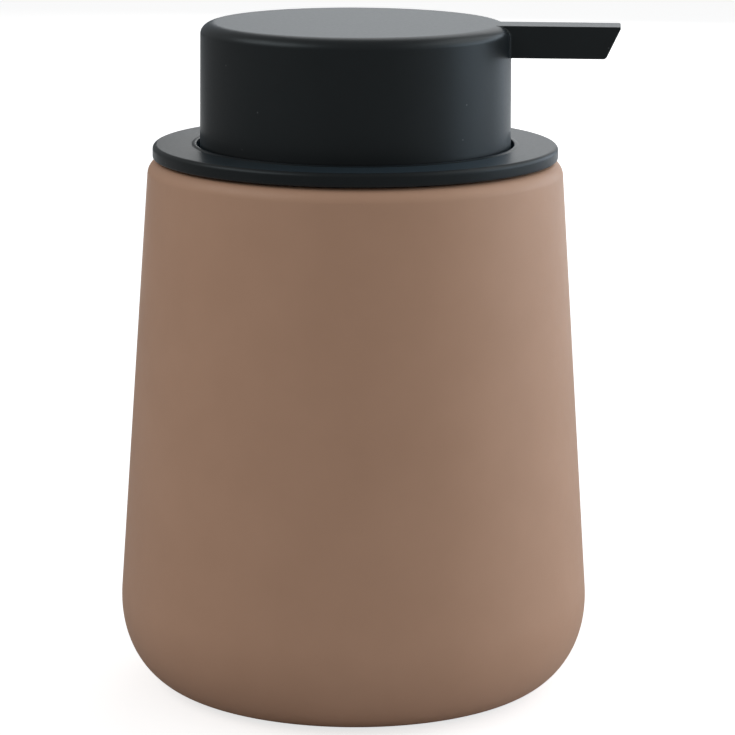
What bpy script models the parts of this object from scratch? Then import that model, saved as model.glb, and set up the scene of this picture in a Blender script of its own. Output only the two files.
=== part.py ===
"""Soap pump dispenser: ceramic bottle, push-in lid, two-ball pump and a press-down head with a nozzle.

Metres, +Z up. The bottle's axis is the Z axis, the nozzle points along +X, and z = 0 is the
surface that the foot pad stands on. Heights are stacked up from there, radii out from the axis.
"""
import math

import bmesh
import bpy
from mathutils import Matrix, Vector
from mathutils.geometry import interpolate_bezier

MM = 0.001

# Clearances
touch_gap = 0.3 * MM             # between pieces that rest on, or are pushed into, each other
slide_gap = 0.25 * MM            # around a piece that slides in a bore
head_gap = 0.58 * MM             # between the head's lower edge and the well it sinks into

# Head: a drafted cap with the nozzle moulded on
head_radius = 27.6 * MM          # at the top, before the edge is rounded
head_draft = math.radians(0.4)
head_height = 25.0 * MM
head_rise = 21.5 * MM            # top of the head above the top of the collar
head_edge = 1.95 * MM
skirt_edge = 0.4 * MM           # at the cap's open end
head_wall = 1.8 * MM
head_roof = 2.0 * MM
nozzle_reach = 47.1 * MM         # axis to the tip's upper corner
nozzle_width = 7.5 * MM
nozzle_height = 5.7 * MM
nozzle_slant = 2.7 * MM          # how far the tip's lower corner stays back
nozzle_edge = 0.25 * MM
channel_radius = 1.3 * MM
channel_depth = 3.7 * MM         # head's top to the middle of the channel
stroke = 10.0 * MM
stroke_spare = 1.0 * MM          # left between skirt and well floor when pressed

# Collar: flange and well in one moulding
collar_thickness = 2.55 * MM
collar_edge = 0.9 * MM
collar_under_edge = 0.3 * MM
collar_inset = 0.78 * MM         # how far the flange stays inside the bottle's rim corner
well_edge = 0.35 * MM
well_wall = 1.3 * MM
well_floor = 2.0 * MM
lip_width = 1.2 * MM             # the lip that holds the mouth seal on
lip_height = 1.6 * MM
seal_thickness = 1.25 * MM       # over the ribs
seal_sleeve = 0.6 * MM
seal_ribs = 3

# Bottle
bottle_height = 95.65 * MM       # foot ring to rim
base_radius = 42.4 * MM
base_height = 17.5 * MM          # where the straight side ends and the base curve starts
base_pull = 11.65 * MM           # how far the base curve keeps the side's direction
foot_pull = 3.7 * MM             # how far it runs flat at the foot
foot_inset = 9.94 * MM           # foot ring inside the widest radius
foot_ring = 5.2 * MM
bottle_wall = 5.0 * MM
bottle_floor = 5.0 * MM
rim_wall = 5.48 * MM
shoulder_fillet = 3.75 * MM
mouth_fillet = 0.6 * MM
mouth_depth = 13.0 * MM
pad_thickness = 2.0 * MM
pad_proud = 0.3 * MM

# Pump cylinder, held in the well floor by a flange above and a nut below
bore_radius = 7.0 * MM
cylinder_wall = 1.3 * MM
cylinder_flange = 1.8 * MM
flange_width = 2.7 * MM
gasket_thickness = 0.8 * MM
nut_wall = 3.0 * MM
nut_height = 5.0 * MM
nut_washer = 1.5 * MM            # height of the nut's round face
tail_wall = 1.3 * MM
tail_length = 10.0 * MM
tube_radius = 3.0 * MM
tube_wall = 0.9 * MM
tube_end_gap = 2.0 * MM          # left under the dip tube
tube_cut = math.radians(30)
vent_radius = 0.6 * MM
vent_drop = 1.5 * MM             # vent hole below the resting piston's top, above its ring

# Stem guide and wiper
guide_flange = 1.8 * MM
guide_plug = 10.0 * MM           # how far it reaches into the cylinder
wiper_width = 1.7 * MM
wiper_height = 1.2 * MM
wiper_lip = 0.48 * MM            # how much of that is the thin lip

# Piston, its ring, the stem and the outlet valve
stem_radius = 3.2 * MM
stem_wall = 0.9 * MM             # around the outlet valve
stem_bore = 1.7 * MM
throat_radius = 1.2 * MM         # stops the outlet ball
throat_length = 4.0 * MM
piston_height = 8.0 * MM
piston_under = 0.5 * MM          # piston's radius inside the bore
ring_height = 2.4 * MM
ring_depth = 1.0 * MM
shoulder_width = 1.1 * MM        # the stem's collar, sunk in the piston
shoulder_height = 1.8 * MM
seat_flange = 2.0 * MM           # valve seat's flange under the piston
seat_spigot = 3.0 * MM
seat_hole = 0.9 * MM
outlet_ball_radius = 1.59 * MM
ball_lift = 1.2 * MM

# Inlet valve and spring
inlet_ball_radius = 2.38 * MM
inlet_hole = 1.7 * MM
inlet_neck = 1.0 * MM            # length of the hole between the seat's cone and the tail
ball_room = 0.42 * MM            # beside the ball
cage_roof = 1.5 * MM
cage_hole = 0.8 * MM
spring_length = 23.0 * MM        # in the resting pump
spring_wire = 0.9 * MM
spring_room = 1.15 * MM          # between the coils and the bore
spring_turns = 6

# Stem socket, pressed into the head's boss
socket_wall = 2.0 * MM
socket_roof = 1.2 * MM
socket_flange = 1.2 * MM
socket_clear = 3.2 * MM          # above the guide when pressed
boss_wall = 1.7 * MM
chamber_radius = 2.5 * MM
rib_wall = 1.4 * MM

# Facets
big_sides = 48
small_sides = 24
wire_steps = 20

# Radii, from the head outwards
skirt_radius = head_radius + head_height * math.tan(head_draft)
well_radius = skirt_radius + head_gap
well_outer = well_radius + well_wall
mouth_radius = well_outer + seal_thickness + 2 * touch_gap
rim_radius = mouth_radius + rim_wall
collar_radius = rim_radius - collar_inset
foot_radius = base_radius - foot_inset
pad_radius = foot_radius - foot_ring - touch_gap
cylinder_radius = bore_radius + cylinder_wall
flange_radius = cylinder_radius + flange_width
socket_radius = stem_radius + touch_gap + socket_wall

# Heights, from the standing surface up to the top of the head
recess_top = pad_thickness + touch_gap
floor_top = recess_top + bottle_floor
rim_top = pad_proud + bottle_height
collar_bottom = rim_top + touch_gap
collar_top = collar_bottom + collar_thickness
head_top = collar_top + head_rise
head_bottom = head_top - head_height
well_top = head_bottom - stroke - stroke_spare
well_bottom = well_top - well_floor

# Heights, from the well floor: gasket, cylinder flange, guide
gasket_bottom = well_top + touch_gap
cylinder_seat = gasket_bottom + gasket_thickness + touch_gap
cylinder_top = cylinder_seat + cylinder_flange
guide_seat = cylinder_top + touch_gap
guide_top = guide_seat + guide_flange
guide_bottom = cylinder_top - guide_plug

# Heights, down the cylinder: piston, valve seat, spring, cage, inlet valve, tail
piston_top = guide_bottom - touch_gap
piston_bottom = piston_top - piston_height
seat_top = piston_bottom - touch_gap
seat_bottom = seat_top - seat_flange
spring_top = seat_bottom - touch_gap
spring_bottom = spring_top - spring_length
cage_top = spring_bottom - touch_gap
cage_ceiling = cage_top - cage_roof
pocket_radius = inlet_ball_radius + ball_room
inlet_ball_height = cage_ceiling - touch_gap - ball_lift - inlet_ball_radius
seat_cone = inlet_ball_height - (inlet_ball_radius + touch_gap) * math.sqrt(2)
chamber_floor = inlet_ball_height + inlet_ball_radius - touch_gap
tail_roof = seat_cone + inlet_hole - inlet_neck
tail_bottom = tail_roof - tail_length

# Heights, up the head: channel, socket, stem
channel_height = head_top - channel_depth
socket_top = channel_height - channel_radius - touch_gap - rib_wall
stem_top = socket_top - socket_roof - touch_gap
socket_bottom = guide_top + stroke + socket_clear
boss_bottom = socket_bottom + socket_flange + touch_gap


def clear_scene():
    for item in list(bpy.data.objects):
        bpy.data.objects.remove(item, do_unlink=True)


def finish(name, color, roughness, metallic=0.0):
    material = bpy.data.materials.new(name)
    material.use_nodes = True
    shader = material.node_tree.nodes["Principled BSDF"]
    shader.inputs["Base Color"].default_value = (*color, 1.0)
    shader.inputs["Roughness"].default_value = roughness
    shader.inputs["Metallic"].default_value = metallic
    return material


def rounded(corners, steps=4):
    """Turn corners (r, z) or (r, z, fillet) of a closed outline into points, with arcs at fillets."""
    points = []
    count = len(corners)
    for index, corner in enumerate(corners):
        here = Vector(corner[:2])
        if len(corner) == 2:
            points.append(here)
            continue
        back = (Vector(corners[index - 1][:2]) - here).normalized()
        ahead = (Vector(corners[(index + 1) % count][:2]) - here).normalized()
        half = back.angle(ahead) / 2
        middle = here + (back + ahead).normalized() * corner[2] / math.sin(half)
        start = (here + back * corner[2] / math.tan(half) - middle).normalized()
        end = (here + ahead * corner[2] / math.tan(half) - middle).normalized()
        for step in range(steps + 1):
            points.append(middle + start.slerp(end, step / steps) * corner[2])
    return points


def place(name, mesh, material, height):
    mesh.materials.append(material)
    mesh.shade_smooth()
    mesh.set_sharp_from_angle(angle=math.radians(35))
    piece = bpy.data.objects.new(name, mesh)
    bpy.context.scene.collection.objects.link(piece)
    piece.location.z = height
    return piece


def to_mesh(shape, name):
    bmesh.ops.remove_doubles(shape, verts=shape.verts, dist=0.001 * MM)
    bmesh.ops.dissolve_degenerate(shape, edges=shape.edges, dist=0.001 * MM)
    bmesh.ops.recalc_face_normals(shape, faces=shape.faces)
    mesh = bpy.data.meshes.new(name)
    shape.to_mesh(mesh)
    shape.free()
    return mesh


def turned(name, outline, material, height=0.0, sides=small_sides):
    """Spin a closed outline of (r, z) points about the Z axis into one solid."""
    shape = bmesh.new()
    points = [shape.verts.new((point[0], 0.0, point[1])) for point in outline]
    for index, point in enumerate(points):
        following = points[(index + 1) % len(points)]
        on_axis = point.co.x < 1e-9 and following.co.x < 1e-9
        if not on_axis:
            shape.edges.new((point, following))
    bmesh.ops.spin(shape, geom=shape.verts[:] + shape.edges[:], axis=(0, 0, 1), cent=(0, 0, 0),
                   angle=2 * math.pi, steps=sides, use_merge=True)
    return place(name, to_mesh(shape, name), material, height)


def ball(name, radius, material, height):
    shape = bmesh.new()
    bmesh.ops.create_uvsphere(shape, u_segments=16, v_segments=10, radius=radius)
    return place(name, to_mesh(shape, name), material, height)


def rod(name, radius, start, end, sides=small_sides):
    """A plain cylinder between two points, used as a tool for cuts."""
    start = Vector(start)
    along = Vector(end) - start
    shape = bmesh.new()
    bmesh.ops.create_cone(shape, cap_ends=True, segments=sides, radius1=radius, radius2=radius,
                          depth=along.length)
    turn = Vector((0, 0, 1)).rotation_difference(along).to_matrix().to_4x4()
    bmesh.ops.transform(shape, matrix=Matrix.Translation(start + along / 2) @ turn, verts=shape.verts)
    return to_mesh(shape, name)


def block(name, low, high):
    """A plain box between two corners, used as a tool for cuts and joins."""
    low, high = Vector(low), Vector(high)
    shape = bmesh.new()
    bmesh.ops.create_cube(shape, size=1.0)
    size = Matrix.Diagonal((*(high - low), 1.0))
    bmesh.ops.transform(shape, matrix=Matrix.Translation((low + high) / 2) @ size, verts=shape.verts)
    return to_mesh(shape, name)


def use(piece, operation, tool):
    """Cut the tool out of the piece, or join it on. The tool is a mesh or object in the piece's frame."""
    if not isinstance(tool, bpy.types.Object):
        tool = bpy.data.objects.new(tool.name, tool)
        bpy.context.scene.collection.objects.link(tool)
    tool.location.z = piece.location.z
    tool.hide_render = True
    tool.display_type = "WIRE"
    change = piece.modifiers.new(operation.lower(), "BOOLEAN")
    change.operation = operation
    change.object = tool


ceramic = finish("soft_touch_ceramic", (0.32, 0.20, 0.145), 0.55)
black = finish("satin_black_plastic", (0.012, 0.015, 0.017), 0.38)
silicone = finish("grey_silicone", (0.10, 0.10, 0.105), 0.6)
natural = finish("natural_polypropylene", (0.72, 0.73, 0.70), 0.35)
white = finish("white_polyethylene", (0.85, 0.85, 0.83), 0.45)
steel = finish("stainless_steel", (0.55, 0.55, 0.55), 0.25, 1.0)


def side_radius(height):
    """Radius of the bottle's straight side at a height."""
    share = (height - base_height) / (rim_top - base_height)
    return base_radius + (rim_radius - base_radius) * share


def make_bottle():
    down = Vector((base_radius - rim_radius, base_height - rim_top)).normalized()
    base_start = Vector((base_radius, base_height))
    foot = Vector((foot_radius, pad_proud))
    outside = interpolate_bezier(base_start, base_start + down * base_pull,
                                 foot + Vector((foot_pull, 0.0)), foot, 9)
    inner_start = Vector((base_radius - bottle_wall, base_height))
    inner_foot = Vector((foot_radius - bottle_wall / 2, floor_top))
    inside = interpolate_bezier(inner_foot, inner_foot + Vector((foot_pull, 0.0)),
                                inner_start + down * base_pull / 2, inner_start, 6)
    mouth_bottom = rim_top - mouth_depth
    inner_top = mouth_bottom - mouth_fillet - (side_radius(mouth_bottom) - bottle_wall - mouth_radius)
    rim = rounded([
        (side_radius(inner_top) - bottle_wall, inner_top),
        (mouth_radius, mouth_bottom),
        (mouth_radius, rim_top, mouth_fillet),
        (rim_radius, rim_top, shoulder_fillet),
        tuple(base_start),
    ])
    recess_radius = pad_radius + touch_gap
    underside = [(recess_radius, pad_proud), (recess_radius, recess_top), (0.0, recess_top)]
    outline = rim[:-1] + outside + underside + [(0.0, floor_top)] + inside
    turned("bottle", outline, ceramic, 0.0, big_sides)


def make_foot_pad():
    edge = pad_proud
    turned("foot_pad", [(0.0, 0.0), (pad_radius - edge, 0.0), (pad_radius, edge),
                        (pad_radius, pad_thickness), (0.0, pad_thickness)], silicone, 0.0, big_sides)


def make_collar():
    hole = cylinder_radius + touch_gap
    lip_radius = well_outer + lip_width
    turned("collar", rounded([
        (collar_radius, collar_bottom, collar_under_edge),
        (collar_radius, collar_top, collar_edge),
        (well_radius, collar_top, well_edge),
        (well_radius, well_top),
        (hole, well_top),
        (hole, well_bottom),
        (lip_radius - well_edge, well_bottom),
        (lip_radius, well_bottom + well_edge),
        (lip_radius, well_bottom + lip_height),
        (well_outer, well_bottom + lip_height + well_edge),
        (well_outer, collar_bottom),
    ], steps=3), black, 0.0, big_sides)


def make_mouth_seal():
    inner = well_outer + touch_gap
    sleeve = inner + seal_sleeve
    outer = inner + seal_thickness
    bottom = well_bottom + lip_height + well_edge + touch_gap
    top = collar_bottom - touch_gap
    pitch = (top - bottom) / seal_ribs
    outline = [(inner, top), (inner, bottom)]
    for rib in range(seal_ribs):
        low = bottom + pitch * rib
        outline += [(sleeve, low), (sleeve, low + pitch * 0.3), (outer, low + pitch * 0.65),
                    (outer, low + pitch * 0.75), (sleeve, low + pitch * 0.9)]
    outline.append((sleeve, top))
    turned("mouth_seal", outline, silicone, 0.0, big_sides)


def make_pump_cylinder():
    socket = tube_radius + touch_gap
    tail = socket + tail_wall
    shelf = chamber_floor - cylinder_wall
    slope = cylinder_radius - tail
    cylinder = turned("pump_cylinder", [
        (flange_radius, cylinder_top),
        (bore_radius, cylinder_top),
        (bore_radius, chamber_floor),
        (pocket_radius, chamber_floor),
        (pocket_radius, seat_cone + pocket_radius),
        (inlet_hole, seat_cone + inlet_hole),
        (inlet_hole, tail_roof),
        (socket, tail_roof),
        (socket, tail_bottom),
        (tail, tail_bottom),
        (tail, shelf - slope),
        (cylinder_radius, shelf),
        (cylinder_radius, cylinder_seat),
        (flange_radius, cylinder_seat),
    ], natural)
    vent = piston_top - vent_drop
    use(cylinder, "DIFFERENCE", rod("vent_tool", vent_radius, (bore_radius - 2 * cylinder_wall, 0.0, vent),
                                    (cylinder_radius + cylinder_wall, 0.0, vent), 12))


def make_cylinder_gasket():
    inner = cylinder_radius + touch_gap
    outer = flange_radius - touch_gap
    turned("cylinder_gasket", [(outer, 0.0), (outer, gasket_thickness), (inner, gasket_thickness),
                               (inner, 0.0)], silicone, gasket_bottom)


def make_lock_nut():
    inner = cylinder_radius + touch_gap
    across = (inner + nut_wall) / math.cos(math.pi / 6)
    low = well_bottom - touch_gap - nut_height
    nut = turned("lock_nut", [(across, nut_height), (0.0, nut_height), (0.0, 0.0), (across, 0.0)],
                 white, low, 6)
    face = across + touch_gap
    washer = nut_height - nut_washer
    use(nut, "UNION", rod("nut_face_tool", face, (0, 0, washer), (0, 0, nut_height + nut_washer)))
    use(nut, "DIFFERENCE", block("nut_top_tool", (-2 * face, -2 * face, nut_height),
                                 (2 * face, 2 * face, 2 * nut_height)))
    use(nut, "DIFFERENCE", rod("nut_bore_tool", inner, (0, 0, -nut_height), (0, 0, 2 * nut_height)))


def make_dip_tube():
    low = floor_top + tube_end_gap
    inner = tube_radius - tube_wall
    tube = turned("dip_tube", [(tube_radius, low), (tube_radius, tail_roof - touch_gap),
                               (inner, tail_roof - touch_gap), (inner, low)], natural)
    wedge = block("tube_end_tool", (-4 * tube_radius, -2 * tube_radius, -6 * tube_radius),
                  (4 * tube_radius, 2 * tube_radius, 0.0))
    cut_middle = low + tube_radius * math.tan(tube_cut)
    wedge.transform(Matrix.Translation((0, 0, cut_middle)) @ Matrix.Rotation(tube_cut, 4, "Y"))
    use(tube, "DIFFERENCE", wedge)


def make_stem_guide():
    hole = stem_radius + touch_gap
    seat = hole + wiper_width + touch_gap
    plug = bore_radius - touch_gap
    floor = guide_top - wiper_height - touch_gap
    turned("stem_guide", [
        (flange_radius - touch_gap, guide_top),
        (seat, guide_top),
        (seat, floor),
        (hole, floor),
        (hole, guide_bottom),
        (plug, guide_bottom),
        (plug, guide_seat),
        (flange_radius - touch_gap, guide_seat),
    ], white)


def make_stem_wiper():
    inner = stem_radius + touch_gap
    outer = inner + wiper_width
    body = wiper_height - wiper_lip
    turned("stem_wiper", [
        (outer, 0.0),
        (outer, body),
        (inner + wiper_width / 2, body),
        (inner + wiper_width / 4, wiper_height),
        (inner, wiper_height),
        (inner, 0.0),
    ], silicone, guide_top - wiper_height)


def make_piston():
    inner = stem_radius + touch_gap
    outer = bore_radius - piston_under
    groove = outer - ring_depth
    sink = inner + shoulder_width
    middle = piston_height / 2
    groove_half = ring_height / 2 + touch_gap
    turned("piston", [
        (outer, middle + groove_half),
        (outer, piston_height),
        (sink, piston_height),
        (sink, piston_height - shoulder_height - touch_gap),
        (inner, piston_height - shoulder_height - touch_gap),
        (inner, 0.0),
        (outer, 0.0),
        (outer, middle - groove_half),
        (groove, middle - groove_half),
        (groove, middle + groove_half),
    ], white, piston_bottom)
    ring_inner = groove + touch_gap
    ring_outer = bore_radius - slide_gap
    turned("piston_ring", rounded([
        (ring_outer, 0.0, touch_gap),
        (ring_outer, ring_height, touch_gap),
        (ring_inner, ring_height),
        (ring_inner, 0.0),
    ], steps=2), silicone, piston_bottom + middle - ring_height / 2)


def make_stem():
    valve_bore = stem_radius - stem_wall
    bottom = piston_bottom
    shoulder_top = piston_top
    shoulder_bottom = piston_top - shoulder_height
    throat = seat_top + seat_spigot + throat_rise()
    stem = turned("stem", [
        (stem_radius, stem_top),
        (stem_bore, stem_top),
        (stem_bore, throat + throat_length),
        (throat_radius, throat + throat_length),
        (throat_radius, throat),
        (valve_bore, throat),
        (valve_bore, bottom),
        (stem_radius, bottom),
        (stem_radius, shoulder_bottom),
        (stem_radius + shoulder_width, shoulder_bottom),
        (stem_radius + shoulder_width, shoulder_top),
        (stem_radius, shoulder_top),
    ], natural)
    half = throat_radius / 3
    use(stem, "DIFFERENCE", block("flow_slot_tool", (-valve_bore + touch_gap, -half, throat - ball_lift),
                                  (valve_bore - touch_gap, half, throat + throat_radius)))


def seat_mouth():
    """Widest radius of the outlet seat's cone, inside the spigot's wall."""
    return stem_radius - stem_wall - 2 * touch_gap


def throat_rise():
    """Spigot's top to the throat: the seated ball, its lift and a gap."""
    ball_middle = (outlet_ball_radius + touch_gap) * math.sqrt(2) - seat_mouth()
    return ball_middle + outlet_ball_radius + ball_lift + touch_gap


def make_valve_seat():
    spigot = stem_radius - stem_wall - touch_gap
    spigot_top = seat_flange + seat_spigot
    outer = bore_radius - spring_room / 2
    turned("valve_seat", [
        (outer, 0.0),
        (outer, seat_flange),
        (spigot, seat_flange),
        (spigot, spigot_top),
        (seat_mouth(), spigot_top),
        (seat_hole, spigot_top - seat_mouth() + seat_hole),
        (seat_hole, 0.0),
    ], white, seat_bottom)
    ball("outlet_ball", outlet_ball_radius, steel,
         seat_top + seat_spigot + throat_rise() - touch_gap - ball_lift - outlet_ball_radius)


def make_inlet_valve():
    ball("inlet_ball", inlet_ball_radius, steel, inlet_ball_height)
    cage_height = cage_top - chamber_floor - touch_gap
    ceiling = cage_height - cage_roof
    cage_radius = bore_radius - touch_gap
    cage = turned("ball_cage", [
        (cage_radius, 0.0),
        (cage_radius, cage_height),
        (0.0, cage_height),
        (0.0, ceiling),
        (pocket_radius, ceiling),
        (pocket_radius, 0.0),
    ], white, chamber_floor + touch_gap)
    for turn in range(4):
        angle = math.radians(90 * turn)
        x = (pocket_radius - cage_hole) * math.cos(angle)
        y = (pocket_radius - cage_hole) * math.sin(angle)
        use(cage, "DIFFERENCE", rod("cage_hole_tool", cage_hole, (x, y, ceiling / 2),
                                    (x, y, cage_height + cage_roof), 12))


def make_spring():
    """A round-wire helix with one closed turn at each end."""
    radius = bore_radius - spring_room - spring_wire / 2
    rise = spring_length - spring_wire
    closed = spring_wire + touch_gap / 2
    open_turns = spring_turns - 2
    pitch = (rise - 2 * closed) / open_turns
    points = []
    for step in range(spring_turns * wire_steps + 1):
        turn = step / wire_steps
        lower = min(turn, 1.0) * closed
        middle = min(max(turn - 1.0, 0.0), open_turns) * pitch
        upper = max(turn - 1.0 - open_turns, 0.0) * closed
        angle = 2 * math.pi * turn
        points.append((radius * math.cos(angle), radius * math.sin(angle), lower + middle + upper))
    curve = bpy.data.curves.new("spring", "CURVE")
    curve.dimensions = "3D"
    curve.bevel_depth = spring_wire / 2
    curve.bevel_resolution = 1
    curve.use_fill_caps = True
    curve.materials.append(steel)
    line = curve.splines.new("POLY")
    line.points.add(len(points) - 1)
    for target, point in zip(line.points, points):
        target.co = (*point, 1.0)
    spring = bpy.data.objects.new("spring", curve)
    bpy.context.scene.collection.objects.link(spring)
    spring.location.z = spring_bottom + spring_wire / 2


def make_stem_socket():
    inner = stem_radius + touch_gap
    outer = socket_radius
    turned("stem_socket", [
        (outer + boss_wall, socket_bottom),
        (outer + boss_wall, socket_bottom + socket_flange),
        (outer, socket_bottom + socket_flange),
        (outer, socket_top),
        (stem_bore, socket_top),
        (stem_bore, socket_top - socket_roof),
        (inner, socket_top - socket_roof),
        (inner, socket_bottom),
    ], white)


def make_head_cap():
    inner_socket = socket_radius + touch_gap
    boss = inner_socket + boss_wall
    roof = head_top - head_roof
    cap = turned("head_cap", rounded([
        (0.0, head_top),
        (0.0, channel_height + channel_radius + touch_gap / 2),
        (chamber_radius, channel_height + channel_radius + touch_gap / 2),
        (chamber_radius, socket_top + touch_gap),
        (inner_socket, socket_top + touch_gap),
        (inner_socket, boss_bottom),
        (boss, boss_bottom),
        (boss, roof),
        (head_radius - head_wall, roof, head_edge / 2),
        (skirt_radius - head_wall, head_bottom),
        (skirt_radius, head_bottom, skirt_edge),
        (head_radius, head_top, head_edge),
    ], steps=5), black, 0.0, big_sides)

    root = head_radius - head_edge - 2 * touch_gap
    low = head_top - nozzle_height
    side = bmesh.new()
    corners = [(root, head_top), (nozzle_reach, head_top), (nozzle_reach - nozzle_slant, low), (root, low)]
    face = side.faces.new([side.verts.new((x, -nozzle_width / 2, z)) for x, z in corners])
    grown = bmesh.ops.extrude_face_region(side, geom=[face])
    moved = [item for item in grown["geom"] if isinstance(item, bmesh.types.BMVert)]
    bmesh.ops.translate(side, vec=(0.0, nozzle_width, 0.0), verts=moved)
    outer_edges = [edge for edge in side.edges if max(end.co.x for end in edge.verts) > root + nozzle_edge]
    bmesh.ops.bevel(side, geom=outer_edges, offset=nozzle_edge, affect="EDGES", segments=2,
                    profile=0.5, material=-1)
    use(cap, "UNION", to_mesh(side, "nozzle_tool"))

    rib = channel_radius + rib_wall
    use(cap, "UNION", block("rib_tool", (boss - boss_wall / 2, -rib, channel_height - rib),
                            (head_radius - head_wall / 2, rib, roof + head_roof / 2)))
    use(cap, "DIFFERENCE", rod("channel_tool", channel_radius, (0, 0, channel_height),
                               (nozzle_reach + nozzle_width, 0, channel_height), 16))


clear_scene()
make_bottle()
make_foot_pad()
make_collar()
make_mouth_seal()
make_pump_cylinder()
make_cylinder_gasket()
make_lock_nut()
make_dip_tube()
make_stem_guide()
make_stem_wiper()
make_inlet_valve()
make_spring()
make_valve_seat()
make_piston()
make_stem()
make_stem_socket()
make_head_cap()
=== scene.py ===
import math

import bmesh
import bpy
from mathutils import Matrix, Vector
from mathutils.geometry import interpolate_bezier


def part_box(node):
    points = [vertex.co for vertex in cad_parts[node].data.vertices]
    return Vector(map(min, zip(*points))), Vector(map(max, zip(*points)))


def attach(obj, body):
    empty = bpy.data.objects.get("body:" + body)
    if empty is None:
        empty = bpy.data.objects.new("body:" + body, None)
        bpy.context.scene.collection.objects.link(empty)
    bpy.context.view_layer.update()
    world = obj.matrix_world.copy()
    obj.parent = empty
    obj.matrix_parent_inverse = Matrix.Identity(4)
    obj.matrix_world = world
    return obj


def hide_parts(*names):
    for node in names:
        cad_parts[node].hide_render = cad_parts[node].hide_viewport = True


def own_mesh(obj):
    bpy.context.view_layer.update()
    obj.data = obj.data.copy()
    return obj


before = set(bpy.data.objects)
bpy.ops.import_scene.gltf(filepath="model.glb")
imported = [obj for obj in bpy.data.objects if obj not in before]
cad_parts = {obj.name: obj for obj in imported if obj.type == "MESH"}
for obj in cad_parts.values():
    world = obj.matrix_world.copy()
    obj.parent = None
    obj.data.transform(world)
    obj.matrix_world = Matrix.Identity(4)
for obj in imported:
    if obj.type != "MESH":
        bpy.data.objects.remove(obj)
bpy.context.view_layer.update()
MM = 0.001

# Camera. A long lens from a little above the collar, turned a few degrees towards the nozzle.
# It stands on the near side of the dispenser, with no shift and no depth of field.
camera_data = bpy.data.cameras.new("camera")
camera_data.sensor_width = 36.0
camera_data.lens = 161.84
camera_data.clip_start = 0.05
camera_data.clip_end = 20.0
camera = bpy.data.objects.new("camera", camera_data)
bpy.context.scene.collection.objects.link(camera)
camera_distance = 585.8 * MM
camera_height = 182.8 * MM
camera_turn = math.radians(4.0)
look_aside = math.radians(-0.2306)
look_down = math.radians(12.06)
camera_roll = math.radians(0.28)
camera.location = (camera_distance * math.sin(camera_turn),
                   -camera_distance * math.cos(camera_turn), camera_height)
aim = Matrix.Rotation(camera_turn + look_aside, 3, "Z")
aim = aim @ Matrix.Rotation(math.radians(90.0) - look_down, 3, "X")
aim = aim @ Matrix.Rotation(camera_roll, 3, "Z")
camera.rotation_euler = aim.to_euler()
bpy.context.scene.camera = camera
bpy.context.scene.view_settings.view_transform = "Standard"

# Studio. White paper that only the camera sees, over a grey table that only the dispenser sees.
# The table glows behind the dispenser. Soft boxes stand around it: three on the right, one on the left,
# a tall one behind and a weak one in front.
def sheet_of(name, radius, height, shade, glow):
    """A round sheet of the studio's ground, grey to white by its shade, and glowing if asked."""
    ground = bmesh.new()
    bmesh.ops.create_circle(ground, cap_ends=True, segments=96, radius=radius,
                            matrix=Matrix.Translation((0.0, 0.0, height)))
    mesh = bpy.data.meshes.new(name)
    ground.to_mesh(mesh)
    ground.free()
    sheet = bpy.data.objects.new(name, mesh)
    bpy.context.scene.collection.objects.link(sheet)
    finish = bpy.data.materials.new(name)
    finish.use_nodes = True
    shader = finish.node_tree.nodes["Principled BSDF"]
    shader.inputs["Base Color"].default_value = (shade, shade, shade, 1.0)
    shader.inputs["Roughness"].default_value = 0.9
    shader.inputs["Specular IOR Level"].default_value = 0.0
    shader.inputs["Emission Color"].default_value = (1.0, 1.0, 1.0, 1.0)
    shader.inputs["Emission Strength"].default_value = glow
    sheet.data.materials.append(finish)
    return sheet


ground_radius = 6.0
paper = sheet_of("white_paper", ground_radius, 0.0, 0.8, 0.72)
paper.visible_diffuse = False
paper.visible_glossy = False
paper.visible_transmission = False
paper.visible_shadow = False
table = sheet_of("grey_table", ground_radius, -0.5 * MM, 0.5, 0.0)
table.visible_camera = False
pool_middle = (0.0, 0.75, 0.0)
pool_bright_radius = 0.25
pool_radius = 0.5
pool_glow = 0.9
tree = table.data.materials[0].node_tree
place = tree.nodes.new("ShaderNodeTexCoord")
reach = tree.nodes.new("ShaderNodeVectorMath")
reach.operation = "DISTANCE"
reach.inputs[1].default_value = pool_middle
pool = tree.nodes.new("ShaderNodeMapRange")
pool.inputs["From Min"].default_value = pool_bright_radius
pool.inputs["From Max"].default_value = pool_radius
pool.inputs["To Min"].default_value = pool_glow
pool.inputs["To Max"].default_value = 0.0
tree.links.new(place.outputs["Object"], reach.inputs[0])
tree.links.new(reach.outputs["Value"], pool.inputs["Value"])
tree.links.new(pool.outputs["Result"], tree.nodes["Principled BSDF"].inputs["Emission Strength"])

world = bpy.data.worlds.new("studio")
world.use_nodes = True
world.node_tree.nodes["Background"].inputs["Color"].default_value = (1.0, 1.0, 1.0, 1.0)
world.node_tree.nodes["Background"].inputs["Strength"].default_value = 0.23
bpy.context.scene.world = world
lamp_aim = Vector((0.0, 0.0, 60 * MM))


def softbox(name, around, above, width, height, power, color=(1.0, 1.0, 1.0)):
    """A soft lamp a metre from the dispenser, so many degrees around from the camera and above level."""
    lamp = bpy.data.lights.new(name, "AREA")
    lamp.shape = "RECTANGLE"
    lamp.size = width
    lamp.size_y = height
    lamp.energy = power
    lamp.color = color
    box = bpy.data.objects.new(name, lamp)
    bpy.context.scene.collection.objects.link(box)
    turn_to = math.radians(around) + camera_turn
    lift = math.radians(above)
    out = Vector((math.sin(turn_to) * math.cos(lift), -math.cos(turn_to) * math.cos(lift), math.sin(lift)))
    box.location = lamp_aim + out
    box.rotation_euler = (-out).to_track_quat("-Z", "Y").to_euler()
    box.visible_camera = False


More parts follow.
